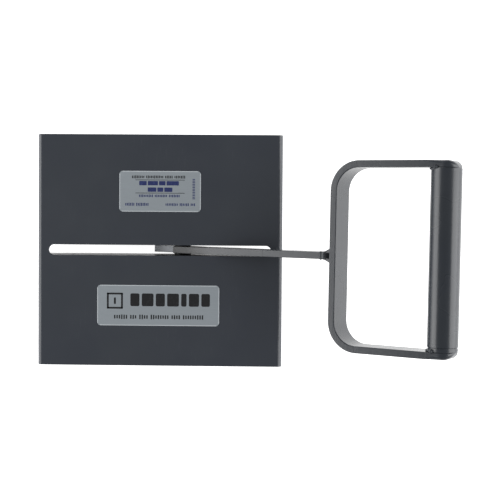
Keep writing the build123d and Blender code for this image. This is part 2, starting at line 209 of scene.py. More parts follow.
@dataclass(frozen=True)
class Enamel:
    """Semi-gloss charcoal enamel on steel: even colour, faint orange peel, a few rubs and specks."""

    name: str
    tone: str = "383c42"
    cool_tone: str = "33373f"
    rub_tone: str = "565b5f"
    roughness: float = 0.34
    peel_mm: float = 1.1
    rub_amount: float = 0.35
    speck_amount: float = 0.3
    bare_below_mm: float | None = None
    ragged_mm: float = 1.2
    fade_mm: float = 0.2
    bare_tone: str = "a3a5a6"
    draw_line_mm: float | None = None

    def wear(self, surface: Surface, patches: Socket) -> Socket:
        """Where the paint is rubbed or specked.

        Args:
            surface: the material in the making.
            patches: the slow noise that lets the rubs through.

        Returns:
            The share of wear.
        """
        # Rubs: long thin marks, only where the patches let them through.
        streaks = surface.noise(0.9, 4.0, surface.stretched((1.0, 0.045, 0.3), (0.3, 0.2, 1.1)))
        rubs = surface.maths("MULTIPLY", surface.ramp(streaks, 0.62, 0.72),
                             surface.ramp(patches, 0.5, 0.75))
        # Specks: dust caught in the paint, drawn a little coarser than real so that they show.
        dust = surface.add("ShaderNodeTexVoronoi", {"Vector": surface.place, "Scale": per_mm(5.5)})
        specks = surface.ramp(dust.outputs["Distance"], 0.05, 0.02)
        return surface.maths("MAXIMUM", surface.maths("MULTIPLY", rubs, self.rub_amount),
                             surface.maths("MULTIPLY", specks, self.speck_amount))

    def bare_share(self, surface: Surface) -> Socket:
        """Where the steel is bare: below a height, with a ragged edge.

        Args:
            surface: the material in the making.

        Returns:
            The share of bare steel.
        """
        edge = surface.maths("MULTIPLY_ADD", surface.noise(2.5), self.ragged_mm * MM, surface.height())
        bare_mm = self.bare_below_mm + self.ragged_mm / 2
        return surface.ramp(edge, (bare_mm + self.fade_mm) * MM, bare_mm * MM)

    def build(self) -> bpy.types.Material:
        """Make the material.

        Returns:
            The material.
        """
        surface = Surface(self.name)
        patches = surface.noise(38)
        worn = self.wear(surface, patches)
        # Slow drift between two nearly equal tones, as sprayed paint has.
        drift = surface.ramp(surface.noise(90, 3.0), 0.2, 0.8, kind="SMOOTHSTEP")
        colour = surface.blend(worn, surface.blend(drift, self.tone, self.cool_tone), self.rub_tone)
        rough = surface.ramp(patches, 0.2, 0.8, (self.roughness - 0.04, self.roughness + 0.06),
                             "SMOOTHSTEP")
        normal = surface.bump(surface.noise(self.peel_mm), 0.08, 0.05)
        if self.draw_line_mm is not None:
            # Lines of the rolled bar that still print through the paint, along Y.
            lines = surface.noise(self.draw_line_mm, place=surface.stretched((1.0, 0.03, 0.6)))
            normal = surface.bump(lines, 0.5, 0.1, normal)
        inputs = {"IOR": 1.5, "Normal": normal,
                  "Roughness": surface.maths("MULTIPLY_ADD", worn, 0.25, rough)}
        if self.bare_below_mm is not None:
            inputs["Metallic"] = self.bare_share(surface)
            colour = surface.blend(inputs["Metallic"], colour, self.bare_tone)
        return surface.finished({**inputs, "Base Color": colour})


@dataclass(frozen=True)
class GroundSteel:
    """Rolled steel bar in its mill scale, its working edge surface-ground in fine lines."""

    name: str
    tone: str = "a9abac"
    tarnish: str = "7d7a74"
    scale_tone: str = "26272a"
    roughness: float = 0.32
    line_mm: float = 0.35
    ground_below_mm: float = 0.8
    fade_mm: float = 0.2

    def build(self) -> bpy.types.Material:
        """Make the material.

        Returns:
            The material.
        """
        surface = Surface(self.name)
        scaled = surface.ramp(surface.height(), self.ground_below_mm * MM,
                              (self.ground_below_mm + self.fade_mm) * MM)
        lines = surface.noise(self.line_mm, 3.0, surface.stretched((0.02, 1.0, 1.0)))
        stain = surface.ramp(surface.noise(22, 5.0), 0.5, 0.72)
        ground = surface.blend(stain, self.tone, self.tarnish)
        return surface.finished({
            "Base Color": surface.blend(scaled, ground, self.scale_tone),
            "Metallic": surface.maths("SUBTRACT", 1.0, scaled),
            "Roughness": surface.ramp(lines, 0.3, 0.7, (self.roughness - 0.06, self.roughness + 0.14)),
            "Normal": surface.bump(lines, 0.2, 0.02),
        })


@dataclass(frozen=True)
class Ferrite:
    """Sintered hard ferrite: matt charcoal ceramic, finely grained, dusty in places."""

    name: str
    tone: str = "2b2c2f"
    dust: str = "47484a"
    roughness: float = 0.72

    def build(self) -> bpy.types.Material:
        """Make the material.

        Returns:
            The material.
        """
        surface = Surface(self.name)
        cloud = surface.ramp(surface.noise(18, 4.0), 0.4, 0.8)
        return surface.finished({
            "Base Color": surface.blend(cloud, self.tone, self.dust),
            "Roughness": self.roughness,
            "Normal": surface.bump(surface.noise(0.8, 6.0), 0.35, 0.1),
        })


@dataclass(frozen=True)
class PottingResin:
    """Black epoxy poured in and left to level: glossy, with shallow sinks."""

    name: str
    tone: str = "0f1011"

    def build(self) -> bpy.types.Material:
        """Make the material.

        Returns:
            The material.
        """
        surface = Surface(self.name)
        sinks = surface.noise(12)
        return surface.finished({
            "Base Color": self.tone,
            "IOR": 1.55,
            "Roughness": surface.ramp(sinks, 0.3, 0.7, (0.16, 0.34)),
            "Normal": surface.bump(sinks, 0.5, 0.4),
        })


@dataclass(frozen=True)
class ZincPlate:
    """Zinc-plated steel: pale, slightly blue, with soft spangle from handling."""

    name: str
    tone: str = "b5b9bc"
    dull: str = "8e9396"
    roughness: float = 0.3

    def build(self) -> bpy.types.Material:
        """Make the material.

        Returns:
            The material.
        """
        surface = Surface(self.name)
        cloud = surface.noise(2.5, 4.0)
        return surface.finished({
            "Base Color": surface.blend(cloud, self.tone, self.dull),
            "Metallic": 1.0,
            "Roughness": surface.ramp(cloud, 0.3, 0.7, (self.roughness - 0.05, self.roughness + 0.12)),
        })


@dataclass(frozen=True)
class BlackOxide:
    """Black-oxide steel: a thin dark film, oiled, that lets a little metal through."""

    name: str
    tone: str = "1b1c1e"
    worn: str = "38393b"
    roughness: float = 0.42

    def build(self) -> bpy.types.Material:
        """Make the material.

        Returns:
            The material.
        """
        surface = Surface(self.name)
        cloud = surface.ramp(surface.noise(1.8, 4.0), 0.52, 0.75)
        return surface.finished({
            "Base Color": surface.blend(cloud, self.tone, self.worn),
            "Metallic": 0.5,
            "Roughness": self.roughness,
        })


@dataclass(frozen=True)
class SilverFoil:
    """Satin silver polyester label stock: fine brushed lines along the label, soft sheen."""

    name: str
    tone: str = "b4bcc2"
    line_tone: str = "a1a9af"
    roughness: float = 0.42
    line_mm: float = 0.3

    def build(self) -> bpy.types.Material:
        """Make the material.

        Returns:
            The material.
        """
        surface = Surface(self.name)
        lines = surface.noise(self.line_mm, place=surface.stretched((0.03, 1.0, 1.0)))
        return surface.finished({
            "Base Color": surface.blend(lines, self.tone, self.line_tone),
            "Metallic": 0.65,
            "Roughness": surface.ramp(lines, 0.3, 0.7, (self.roughness - 0.06, self.roughness + 0.1)),
        })


@dataclass(frozen=True)
class PrintInk:
    """Screen-printed ink on foil: flat colour, slightly glossy, thin in places."""

    name: str
    tone: str
    thin_tone: str

    def build(self) -> bpy.types.Material:
        """Make the material.

        Returns:
            The material.
        """
        surface = Surface(self.name)
        cloud = surface.ramp(surface.noise(1.5, 3.0), 0.55, 0.8)
        return surface.finished({
            "Base Color": surface.blend(cloud, self.tone, self.thin_tone),
            "Roughness": 0.4,
        })


class Finishes:
    """Every material of the object, made once."""

    def __init__(self) -> None:
        """Build the materials."""
        bar = Enamel("charcoal_enamel_bar", tone="2c3035", cool_tone="282c33", roughness=0.27,
                     rub_amount=0.0)
        self.housing = Enamel("charcoal_enamel_sheet").build()
        self.end_plate = Enamel("charcoal_enamel_end_plate", bare_below_mm=0.9).build()
        self.lever = bar.build()
        self.blade = replace(bar, name="charcoal_enamel_worn_heel", bare_below_mm=26.0,
                             bare_tone="6c6e71").build()
        self.steel = GroundSteel("ground_pole_steel").build()
        self.ferrite = Ferrite("sintered_ferrite").build()
        self.resin = PottingResin("potting_resin").build()
        self.zinc = ZincPlate("zinc_plated_steel").build()
        self.oxide = BlackOxide("black_oxide_steel").build()
        self.foil = SilverFoil("silver_label_foil").build()
        self.handle = replace(bar, name="charcoal_enamel_drawn_bar", draw_line_mm=1.6).build()
        self.inks = {
            "black": PrintInk("black_print", "17181a", "2b2c2f").build(),
            "blue": PrintInk("blue_print", "232d5c", "3a4677").build(),
            # Pale ink that paints the highlight along each label's edge.
            "white": PrintInk("painted_edge_highlight", "bfc4c8", "aeb4b9").build(),
        }


# ---------- mesh building
class Half(Enum):
    """The two mirrored halves of the object, by the sign of Y."""

    BACK = 1
    FRONT = -1

    @property
    def tag(self) -> str:
        """The word that node names use."""
        return self.name.lower()


def to_object(bm: BMesh, name: str, material: bpy.types.Material,
              crease_deg: float = 38.0) -> bpy.types.Object:
    """Turn a bmesh into a linked object at the origin.

    Args:
        bm: the mesh, in metres in the part's frame; it is freed.
        name: the piece's name.
        material: its finish.
        crease_deg: edges sharper than this shade as creases.

    Returns:
        The new object.
    """
    mesh = bpy.data.meshes.new(name)
    bm.to_mesh(mesh)
    bm.free()
    mesh.materials.append(material)
    mesh.shade_smooth()
    mesh.set_sharp_from_angle(angle=math.radians(crease_deg))
    obj = bpy.data.objects.new(name, mesh)
    bpy.context.scene.collection.objects.link(obj)
    weighted = obj.modifiers.new("even_shading", "WEIGHTED_NORMAL")
    weighted.keep_sharp = True
    return obj


def placed(piece: bpy.types.Object, body: str, slot: str | None, *nodes: str) -> None:
    """Make a piece ride on a body and stand for CAD nodes, which are hidden.

    Args:
        piece: the finished object.
        body: the CAD body that it rides on.
        slot: the record's material slot, or None for a piece that has none; not used.
        nodes: the CAD nodes that it stands for.
    """
    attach(piece, body)
    if nodes:
        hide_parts(*nodes)
    LOG.info("%s: %d faces", piece.name, len(piece.data.polygons))


def dress(node: str, material: bpy.types.Material) -> None:
    """Give a CAD node that stays a better material.

    Args:
        node: the node.
        material: the material.
    """
    for material_slot in frame["nodes"][node].material_slots:
        material_slot.material = material
    LOG.info("%s: CAD node, %s", node, material.name)


def round_edges(bm: BMesh, edges: list[bmesh.types.BMEdge], width: float,
                segments: int = 2) -> None:
    """Round the given edges.

    Args:
        bm: the mesh to change.
        edges: the edges to round.
        width: the width of the rounding, in the mesh's own unit.
        segments: steps across it.
    """
    bmesh.ops.bevel(bm, geom=edges, offset=width, offset_type="OFFSET", segments=segments,
                    profile=0.5, affect="EDGES", material=-1, clamp_overlap=True)


def sharp_edges(bm: BMesh, sharp_deg: float = 30.0) -> list[bmesh.types.BMEdge]:
    """The edges whose faces turn more than an angle."""
    limit = math.radians(sharp_deg)
    return [e for e in bm.edges if len(e.link_faces) == 2 and e.calc_face_angle(0) > limit]


def refined(node: str, material: bpy.types.Material, body: str, slot: str, width_mm: float = 0.4,
            segments: int = 2, seam_mm: float = 0.002, flat_deg: float = 0.4) -> None:
    """Stand in for a CAD node with the same shape and eased edges.

    Args:
        node: the CAD node.
        material: the finish.
        body: the CAD body that the piece rides on.
        slot: the record's material slot.
        width_mm: how far its edges are eased.
        segments: steps across each eased edge.
        seam_mm: points closer than this are joined.
        flat_deg: faces that turn less than this are joined.
    """
    bm = bmesh.new()
    bm.from_mesh(frame["nodes"][node].data)
    bmesh.ops.remove_doubles(bm, verts=bm.verts, dist=seam_mm * MM)
    bmesh.ops.dissolve_limit(bm, angle_limit=math.radians(flat_deg), verts=bm.verts, edges=bm.edges)
    round_edges(bm, sharp_edges(bm), width_mm * MM, segments)
    placed(to_object(bm, f"{node}_piece", material), body, slot, node)


def add_box(bm: BMesh, low: Vector, high: Vector) -> None:
    """Add a box.

    Args:
        bm: the mesh to add to.
        low: its lowest corner.
        high: its highest corner.
    """
    made = bmesh.ops.create_cube(bm, size=1.0)["verts"]
    bmesh.ops.scale(bm, vec=high - low, verts=made)
    bmesh.ops.translate(bm, vec=(low + high) / 2, verts=made)


def add_tablet(bm: BMesh, centre: tuple[float, float], size: tuple[float, float],
               corner: float, low: float, high: float) -> None:
    """Add a flat plate with round corners, lying in the XY plane.

    Args:
        bm: the mesh to add to, in millimetres.
        centre: its centre in X and Y.
        size: its length in X and in Y.
        corner: the radius of its corners.
        low: its underside.
        high: its top.
    """
    made = bmesh.ops.create_grid(bm, x_segments=1, y_segments=1, size=0.5)["verts"]
    bmesh.ops.scale(bm, vec=(*size, 1), verts=made)
    bmesh.ops.translate(bm, vec=(*centre, low), verts=made)
    rounded = bmesh.ops.bevel(bm, geom=made, offset=corner, offset_type="OFFSET", segments=6,
                              profile=0.5, affect="VERTICES", material=-1)
    face = rounded["verts"][0].link_faces[0]
    raised = bmesh.ops.extrude_face_region(bm, geom=[face])["geom"]
    top = [v for v in raised if isinstance(v, bmesh.types.BMVert)]
    bmesh.ops.translate(bm, vec=(0, 0, high - low), verts=top)


def add_ring(bm: BMesh, points: list[Vector]) -> list[bmesh.types.BMEdge]:
    """Add a closed loop of edges through some points."""
    verts = [bm.verts.new(p) for p in points]
    return [bm.edges.new(pair) for pair in zip(verts, verts[1:] + verts[:1])]


def taper(share: float, power: int, least: float) -> float:
    """How far a bead keeps its full size, from -1 to 1 along it; a high power keeps it longer."""
    return math.sqrt(max(1 - abs(share) ** power, least))


def bridge(bm: BMesh, rings: list[list[bmesh.types.BMEdge]]) -> None:
    """Skin a row of rings, close both ends and point the faces outwards.

    Args:
        bm: the mesh to add to.
        rings: the rings' edges, in order.
    """
    for first, second in zip(rings, rings[1:]):
        bmesh.ops.bridge_loops(bm, edges=first + second)
    for end in (rings[0], rings[-1]):
        bmesh.ops.contextual_create(bm, geom=end)
    bmesh.ops.recalc_face_normals(bm, faces=bm.faces)


def add_bead(bm: BMesh, centre: Vector, radius: float, length: float, wander: float,
             lumps_per_mm: float = 0.9) -> None:
    """Add a short weld bead: a lumpy capsule along Y.

    Args:
        bm: the mesh to add to, in millimetres.
        centre: its centre.
        radius: its radius.
        length: its length over the round ends.
        wander: how far its skin wanders.
        lumps_per_mm: how often it does.
    """
    made = bmesh.ops.create_uvsphere(bm, u_segments=24, v_segments=16, radius=radius)["verts"]
    bmesh.ops.rotate(bm, verts=made, cent=(0, 0, 0), matrix=Matrix.Rotation(math.pi / 2, 3, "X"))
    for vert in made:
        if abs(vert.co.y) > NEAR:
            vert.co.y += math.copysign(length / 2 - radius, vert.co.y)
        vert.co += vert.co.normalized() * wander * noise.noise(vert.co * lumps_per_mm + centre)
    bmesh.ops.translate(bm, vec=centre, verts=made)


# ---------- studio
@dataclass
class Panel:
    """One soft light panel aimed at the object."""

    name: str
    place: Triple
    size: tuple[float, float]
    power: float

    def build(self, target: Vector) -> None:
        """Add the panel to the scene.

        Args:
            target: what it faces.
        """
        light = bpy.data.lights.new(self.name, "AREA")
        light.shape = "RECTANGLE"
        light.size, light.size_y = self.size
        light.energy = self.power
        obj = bpy.data.objects.new(self.name, light)
        obj.location = self.place
        obj.rotation_euler = (target - obj.location).to_track_quat("-Z", "Y").to_euler()
        bpy.context.scene.collection.objects.link(obj)


@dataclass
class Studio:
    """Pale floor, soft light and the camera above the object, in metres."""

    camera_over_top: float = 1.1269
    camera_foot: tuple[float, float] = (0.1143, 0.0365)
    aim: tuple[float, float] = (0.08436, 0.00108)
    roll_deg: float = 0.418
    lens: float = 87.23
    floor_size: float = 40.0
    floor_drop: float = 0.05 * MM
    floor_glow: float = 0.95
    world_light: float = 0.26
    panels: list[Panel] = field(default_factory=lambda: [
        Panel("panel_left", (-1.5, 0.0, 0.58), (2.2, 1.16), 33.5),
        Panel("panel_right", (1.8, 0.0, 0.8), (2.2, 1.6), 48.0),
    ])

    def build(self) -> None:
        """Add the floor, the lights and the camera."""
        self.build_floor()
        target = Vector((self.aim[0], 0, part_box("housing")[1].z / 2))
        for panel in self.panels:
            panel.build(target)
        world = bpy.data.worlds.new("studio")
        bpy.context.scene.world = world
        world.use_nodes = True
        background = world.node_tree.nodes["Background"]
        background.inputs["Color"].default_value = linear("ffffff")
        background.inputs["Strength"].default_value = self.world_light
        self.build_camera()
        bpy.context.scene.view_settings.view_transform = "Standard"

    def build_floor(self) -> None:
        """Add a pale floor that glows a little, as a light table does."""
        bm = bmesh.new()
        bmesh.ops.create_grid(bm, x_segments=1, y_segments=1, size=self.floor_size / 2)
        bmesh.ops.translate(bm, verts=bm.verts, vec=(0, 0, -self.floor_drop))
        paper = Surface("white_sweep").finished({
            "Base Color": "f4f4f4",
            "Roughness": 0.9,
            "Emission Color": "ffffff",
            "Emission Strength": self.floor_glow,
        })
        to_object(bm, "floor", paper)

    def build_camera(self) -> None:
        """Add the camera, looking down with +Y up in its view."""
        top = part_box("housing")[1].z
        camera = bpy.data.cameras.new("camera")
        camera.lens = self.lens
        obj = bpy.data.objects.new("camera", camera)
        obj.location = (*self.camera_foot, top + self.camera_over_top)
        ahead = (Vector((*self.aim, top)) - obj.location).normalized()
        right = ahead.cross(Vector((0, 1, 0))).normalized()
        facing = Matrix((right, right.cross(ahead), -ahead)).transposed()
        turn = facing.to_quaternion() @ Quaternion((0, 0, 1), math.radians(self.roll_deg))
        obj.rotation_euler = turn.to_euler()
        bpy.context.scene.collection.objects.link(obj)
        bpy.context.scene.camera = obj


# ---------- magnet base
@dataclass
class MagnetBase:
    """The housing, its steel plates, blocks, resin, screws and pivot."""

    finishes: Finishes
    body: str = "magnet_base"
    sheet_edge: float = 0.35
    plate_edge: float = 0.5
    washer_edge: float = 0.15

    def build(self) -> None:
        """Dress every piece of the base."""
        kit = self.finishes
        refined("housing", kit.housing, self.body, "housing_paint", self.sheet_edge)
        for half in Half:
            refined(f"end_plate_{half.tag}", kit.end_plate, self.body, "end_plate_paint",
                    self.plate_edge)
            for plate in ("cheek_plate", "centre_pole"):
                refined(f"{plate}_{half.tag}", kit.steel, self.body, "pole_steel", self.plate_edge)
            refined(f"pivot_washer_{half.tag}", kit.oxide, self.body, "oxide_steel",
                    self.washer_edge)
            dress(f"resin_{half.tag}", kit.resin)
        for node in frame["nodes"]:
            if node.startswith("magnet_"):
                dress(node, kit.ferrite)
            if node.startswith("flange_screws"):
                dress(node, kit.zinc)
        dress("pivot_pin", kit.oxide)


# ---------- labels
class Ink(Enum):
    """What a printed mark is printed in."""

    BLACK = "black"
    BLUE = "blue"
    # Pale ink that paints the highlight along a label's edge.
    WHITE = "white"


@dataclass(frozen=True)
class Mark:
    """One plain printed mark: a bar with round corners, in millimetres from the label's centre."""

    ink: Ink
    centre: tuple[float, float]
    size: tuple[float, float]
    corner: float


@dataclass
class Label:
    """A foil label with generic printed bars, a painted highlight along its edge, and no lettering."""

    finishes: Finishes
    half: Half
    marks: tuple[Mark, ...]
    body: str = "magnet_base"
    corner: float = 3.5
    foil_edge: float = 0.08
    ink_sink: float = 0.01
    ink_rise: float = 0.03

    def build(self) -> None:
        """Build the foil and its print, one piece for each ink."""
        node = f"label_{self.half.tag}"
        low, high = (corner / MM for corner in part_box(node))
        centre, size = (low + high) / 2, high - low
        bm = bmesh.new()
        add_tablet(bm, centre[:2], size[:2], self.corner, low.z, high.z)
        bmesh.ops.recalc_face_normals(bm, faces=bm.faces)
        round_edges(bm, [e for e in bm.edges if min(v.co.z for v in e.verts) > centre.z],
                    self.foil_edge)
        bmesh.ops.scale(bm, vec=(MM,) * 3, verts=bm.verts)
        placed(to_object(bm, f"{node}_foil", self.finishes.foil), self.body, "label_foil", node)
        for ink in Ink:
            chosen = [m for m in self.marks if m.ink is ink]
            if chosen:
                self.build_print(f"{node}_print_{ink.value}", chosen, ink, centre, high.z)

    def build_print(self, name: str, marks: list[Mark], ink: Ink, centre: Vector,
                    top: float) -> None:
        """Build the marks of one ink.

        Args:
            name: the piece's name.
            marks: its marks.
            ink: what they are printed in.
            centre: the label's centre, in millimetres.
            top: the label's top, in millimetres.
        """
        bm = bmesh.new()
        for mark in marks:
            place = (centre.x + mark.centre[0], centre.y + mark.centre[1])
            add_tablet(bm, place, mark.size, mark.corner, top - self.ink_sink, top + self.ink_rise)
        bmesh.ops.recalc_face_normals(bm, faces=bm.faces)
        bmesh.ops.scale(bm, vec=(MM,) * 3, verts=bm.verts)
        placed(to_object(bm, name, self.finishes.inks[ink.value]), self.body, None)


def edge_highlight_marks(size: tuple[float, float], inset: float, line: float,
                corner_gap: float = 2.0) -> list[Mark]:
    """A painted highlight along a label's edge, where the foil's rim catches the light: a pale line as
    four thin bars that stop short of its corners.

    Args:
        size: the label's length and width.
        inset: the line's distance from the edge.
        line: the line's width.
        corner_gap: how far each bar stops short.

    Returns:
        Its marks.
    """
    x, y = size[0] / 2 - inset, size[1] / 2 - inset
    across, upright = (2 * (x - corner_gap), line), (line, 2 * (y - corner_gap))
    # Pale bars that paint the foil's edge highlight.
    return [*(Mark(Ink.WHITE, (0, side), across, line / 3) for side in (-y, y)),
            *(Mark(Ink.WHITE, (side, 0), upright, line / 3) for side in (-x, x))]


def ticks(ink: Ink, left: float, y: float, words: tuple[int, ...], height: float,
          tick: float = 0.9, gap: float = 0.6, shortest: float = 0.7) -> list[Mark]:
    """A row of plain upright ticks in groups, which has the grey of small print and no letters.

    Args:
        ink: what they are printed in.
        left: where the row starts.
        y: the row's middle.
        words: how many ticks each group has.
        height: the tallest tick.
        tick: a tick's width.
        gap: the space between ticks.
        shortest: the shortest tick, as a share of the tallest.

    Returns:
        The row's marks.
    """
    chance = random.Random(f"{left} {y}")
    row = []
    for count in words:
        for _ in range(count):
            tall = height * chance.uniform(shortest, 1.0)
            row.append(Mark(ink, (left + tick / 2, y), (tick, tall), tick * 0.25))
            left += tick + gap
        left += 2 * gap
    return row


def blocks(ink: Ink, left: float, y: float, widths: tuple[float, ...], height: float,
           gap: float) -> list[Mark]:
    """A row of plain blocks, as bold as a heading.

    Args:
        ink: what they are printed in.
        left: where the row starts.
        y: the row's middle.
        widths: the blocks' widths.
        height: the blocks' height.
        gap: the space between blocks.

    Returns:
        The row's marks.
    """
    row = []
    for width in widths:
        row.append(Mark(ink, (left + width / 2, y), (width, height), height * 0.12))
        left += width + gap
    return row


def square(ink: Ink, centre: tuple[float, float], side: float, line: float) -> list[Mark]:
    """An open square, as four bars.

    Args:
        ink: what it is printed in.
        centre: its centre.
        side: its outer side.
        line: the bars' width.

    Returns:
        Its marks.
    """
    x, y = centre
    half = (side - line) / 2
    return [*(Mark(ink, (x, y + d), (side, line), line / 3) for d in (-half, half)),
            *(Mark(ink, (x + d, y), (line, side), line / 3) for d in (-half, half))]


BACK_MARKS = (
    # The foil's edge highlight, painted as a pale line.
    *edge_highlight_marks((3.0 * INCH, 1.5 * INCH), 0.5, 0.6),
    *ticks(Ink.BLACK, -26.2, 13.4, (8, 11, 5, 7), 3.0),
    *blocks(Ink.BLUE, -19.5, 7.6, (7.0, 9.5, 6.0, 11.5), 4.0, 1.0),
    *blocks(Ink.BLUE, -11.5, 1.6, (8.0, 5.5, 7.5), 4.0, 1.0),
    Mark(Ink.BLACK, (0.0, 10.6), (46.0, 0.5), 0.15),
    Mark(Ink.BLACK, (0.0, -1.6), (46.0, 0.5), 0.15),
    *ticks(Ink.BLUE, -19.6, -4.2, (9, 8, 7), 2.6),
    *ticks(Ink.BLUE, -32.4, -12.2, (6, 8), 3.2),
    *ticks(Ink.BLUE, 5.2, -12.2, (8, 6, 3), 2.8),
    *(Mark(Ink.BLUE, (31.4, 2.3 + 1.5 * step), (2.4, 0.8), 0.2) for step in range(-6, 7)),
)
FRONT_MARKS = (
    # The foil's edge highlight, painted as a pale line.
    *edge_highlight_marks((4.5 * INCH, 1.5 * INCH), 0.5, 0.6),
    *square(Ink.BLACK, (-40.5, 4.2), 15.0, 1.7),
    Mark(Ink.BLACK, (-40.5, 4.2), (1.8, 6.2), 0.6),
    *blocks(Ink.BLACK, -26.0, 5.2, (8.5, 11.0, 8.5, 11.0, 5.0, 9.5, 8.0), 12.0, 2.15),
    *ticks(Ink.BLACK, -41.2, -10.8, (6, 3, 4, 8, 4, 9), 4.4, 1.25, 0.95),
)


# ---------- lever
@dataclass(frozen=True)
class LeverAxes:
    """The lever's own axes, in millimetres: X along the arm from the pivot, Y across, Z off it."""

    place: Matrix

    @classmethod
    def from_frame(cls) -> "LeverAxes":
        """Work the axes out from the joint and the grip."""
        joint = next(j for j in frame["joints"] if j["child"] == "lever")
        pivot = Vector(joint["pos_m"])
        across = -Vector(joint["axis"]).normalized()
        low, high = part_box("grip_tube")
        along = (low + high) / 2 - pivot
        along = (along - along.project(across)).normalized()
        turn = Matrix((along, across, along.cross(across))).transposed().to_4x4()
        return cls(Matrix.Translation(pivot) @ turn @ Matrix.Scale(MM, 4))

    def span(self, node: str) -> tuple[Vector, Vector]:
        """How far a CAD node reaches along the lever's axes.

        Args:
            node: the CAD node.

        Returns:
            Its lowest and its highest corner.
        """
        back = self.place.inverted()
        points = [back @ v.co for v in frame["nodes"][node].data.vertices]
        return tuple(Vector([pick(p[i] for p in points) for i in range(3)]) for pick in (min, max))

    def settle(self, bm: BMesh) -> None:
        """Move a mesh from the lever's axes to the part's frame, in metres."""
        bmesh.ops.transform(bm, matrix=self.place, verts=bm.verts)


@dataclass(frozen=True)
class Section:
    """A cross-section of a bent bar: its outer face's place, and its size there."""

    outer: Vector
    outward: Vector
    thickness: float
    half_height: float
    outer_round: float
    inner_round: float

    def points(self, steps: int = 5) -> list[Vector]:
        """The section's outline, its four corners as arcs.

        Args:
            steps: steps in each arc.

        Returns:
            The outline's points, in order.
        """
        out, inn, high = self.outer_round, self.inner_round, self.half_height
        corners = (
            (-out, high - out, out), (inn - self.thickness, high - inn, inn),
            (inn - self.thickness, inn - high, inn), (-out, out - high, out),
        )
        outline = []
        for quarter, (depth, level, radius) in enumerate(corners):
            for step in range(steps + 1):
                angle = math.pi / 2 * (quarter + step / steps)
                offset = depth + radius * math.cos(angle)
                rise = Vector((0, 0, level + radius * math.sin(angle)))
                outline.append(self.outer + self.outward * offset + rise)
        return outline


@dataclass
class LeverWork:
    """A sub-assembly of the lever, in millimetres along the lever's axes."""

    finishes: Finishes
    axes: LeverAxes
    body: str = "lever"
    slot: str = "lever_paint"

    def add(self, bm: BMesh, name: str, node: str,
            material: bpy.types.Material | None = None, crease_deg: float = 38.0) -> None:
        """Make a mesh one piece of the lever.

        Args:
            bm: the mesh; it is freed.
            name: the piece's name.
            node: the CAD node that it stands for.
            material: its finish, or None for the bar's paint.
            crease_deg: edges sharper than this shade as creases.
        """
        self.axes.settle(bm)
        piece = to_object(bm, name, material or self.finishes.lever, crease_deg)
        placed(piece, self.body, self.slot, node)


